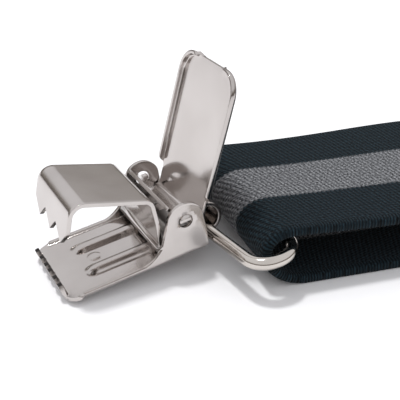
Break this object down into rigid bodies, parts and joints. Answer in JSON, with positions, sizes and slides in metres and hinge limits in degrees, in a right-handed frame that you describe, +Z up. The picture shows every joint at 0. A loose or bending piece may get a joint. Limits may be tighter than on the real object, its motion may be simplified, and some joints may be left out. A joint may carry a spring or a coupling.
{
  "type": "clip-on suspenders",
  "caption": "Clip-on Y-back suspenders: striped webbing on sprung metal clips with wire loops, cam adjusters and a leather yoke, laid down with the spare webbing folded.",
  "frame": {"origin": "middle of the underside, on the surface that the suspenders lie on", "axes": "+X along the straps from the open clip to the closed clips, +Y across the straps, +Z up"},
  "size_m": [0.3888, 0.0872, 0.0381],
  "materials": {
    "nickel_sheet": "satin-bright nickel plate on pressed steel",
    "nickel_wire": "bright nickel plate on round wire",
    "spring_steel": "plain spring steel",
    "striped_webbing": "twill-woven elastic webbing in dark blue with a grey centre stripe",
    "yoke_leather": "black grained leather with a stitched edge"
  },
  "bodies": {
    "webbing": {"left_front_strap": "striped_webbing", "right_front_strap": "striped_webbing", "back_strap": "striped_webbing", "yoke_leather": "yoke_leather", "yoke_lining": "yoke_leather", "left_adjuster_frame": "nickel_sheet", "left_adjuster_pin": "spring_steel", "right_adjuster_frame": "nickel_sheet", "right_adjuster_pin": "spring_steel"},
    "left_loop": {"left_clip_wire_loop": "nickel_wire"},
    "left_clip": {"left_clip_base": "nickel_sheet", "left_clip_leaf_spring": "spring_steel", "left_clip_spring_rivet": "spring_steel"},
    "left_lever": {"left_clip_lever": "nickel_sheet"},
    "left_jaw": {"left_clip_jaw": "nickel_sheet"},
    "right_loop": {"right_clip_wire_loop": "nickel_wire"},
    "right_clip": {"right_clip_base": "nickel_sheet", "right_clip_leaf_spring": "spring_steel", "right_clip_spring_rivet": "spring_steel"},
    "right_lever": {"right_clip_lever": "nickel_sheet"},
    "right_jaw": {"right_clip_jaw": "nickel_sheet"},
    "back_loop": {"back_clip_wire_loop": "nickel_wire"},
    "back_clip": {"back_clip_base": "nickel_sheet", "back_clip_leaf_spring": "spring_steel", "back_clip_spring_rivet": "spring_steel"},
    "back_lever": {"back_clip_lever": "nickel_sheet"},
    "back_jaw": {"back_clip_jaw": "nickel_sheet"},
    "left_cam_lever": {"left_adjuster_cam_lever": "nickel_sheet"},
    "right_cam_lever": {"right_adjuster_cam_lever": "nickel_sheet"}
  },
  "joints": [
    {"name": "left_loop_swing", "type": "hinge", "parent": "webbing", "child": "left_loop", "pos_m": [-0.14979, -0.0212, 0.0076], "axis": [-0.1235, 0.9912, -0.0471], "range_deg": [-10, 50]},
    {"name": "left_clip_swing", "type": "hinge", "parent": "left_loop", "child": "left_clip", "pos_m": [-0.16159, -0.0191, 0.00635], "axis": [-0.2044, 0.9778, -0.0469], "range_deg": [-30, 25]},
    {"name": "left_lever_swing", "type": "hinge", "parent": "left_clip", "child": "left_lever", "pos_m": [-0.16847, -0.02028, 0.01166], "axis": [-0.2044, 0.9778, -0.0469], "range_deg": [-109.5, 6]},
    {"name": "left_jaw_swing", "type": "hinge", "parent": "left_clip", "child": "left_jaw", "pos_m": [-0.17279, -0.02145, 0.00617], "axis": [-0.2044, 0.9778, -0.0469], "range_deg": [-27.2, 1.7]},
    {"name": "right_loop_swing", "type": "hinge", "parent": "webbing", "child": "right_loop", "pos_m": [0.14761, 0.0216, 0.0076], "axis": [0, -1, 0], "range_deg": [-10, 50]},
    {"name": "right_clip_swing", "type": "hinge", "parent": "right_loop", "child": "right_clip", "pos_m": [0.15906, 0.0216, 0.00652], "axis": [0, -1, 0], "range_deg": [-30, 25]},
    {"name": "right_lever_swing", "type": "hinge", "parent": "right_clip", "child": "right_lever", "pos_m": [0.16605, 0.0216, 0.0118], "axis": [0, -1, 0], "range_deg": [0, 109.5]},
    {"name": "right_jaw_swing", "type": "hinge", "parent": "right_clip", "child": "right_jaw", "pos_m": [0.1705, 0.0216, 0.00629], "axis": [0, -1, 0], "range_deg": [0, 27.2]},
    {"name": "back_loop_swing", "type": "hinge", "parent": "webbing", "child": "back_loop", "pos_m": [0.14761, -0.0216, 0.0076], "axis": [0, -1, 0], "range_deg": [-10, 50]},
    {"name": "back_clip_swing", "type": "hinge", "parent": "back_loop", "child": "back_clip", "pos_m": [0.15906, -0.0216, 0.00652], "axis": [0, -1, 0], "range_deg": [-30, 25]},
    {"name": "back_lever_swing", "type": "hinge", "parent": "back_clip", "child": "back_lever", "pos_m": [0.16605, -0.0216, 0.0118], "axis": [0, -1, 0], "range_deg": [0, 109.5]},
    {"name": "back_jaw_swing", "type": "hinge", "parent": "back_clip", "child": "back_jaw", "pos_m": [0.1705, -0.0216, 0.00629], "axis": [0, -1, 0], "range_deg": [0, 27.2]},
    {"name": "left_cam_lever_swing", "type": "hinge", "parent": "webbing", "child": "left_cam_lever", "pos_m": [-0.08609, -0.0216, 0.0129], "axis": [0, -1, 0], "range_deg": [0, 95]},
    {"name": "right_cam_lever_swing", "type": "hinge", "parent": "webbing", "child": "right_cam_lever", "pos_m": [0.10391, 0.0216, 0.0129], "axis": [0, 1, 0], "range_deg": [0, 95]}
  ],
  "couplings": [
    {"joint": "left_jaw_swing", "follows": "left_lever_swing", "ratio": 0.24657},
    {"joint": "right_jaw_swing", "follows": "right_lever_swing", "ratio": 0.24657},
    {"joint": "back_jaw_swing", "follows": "back_lever_swing", "ratio": 0.24657}
  ]
}
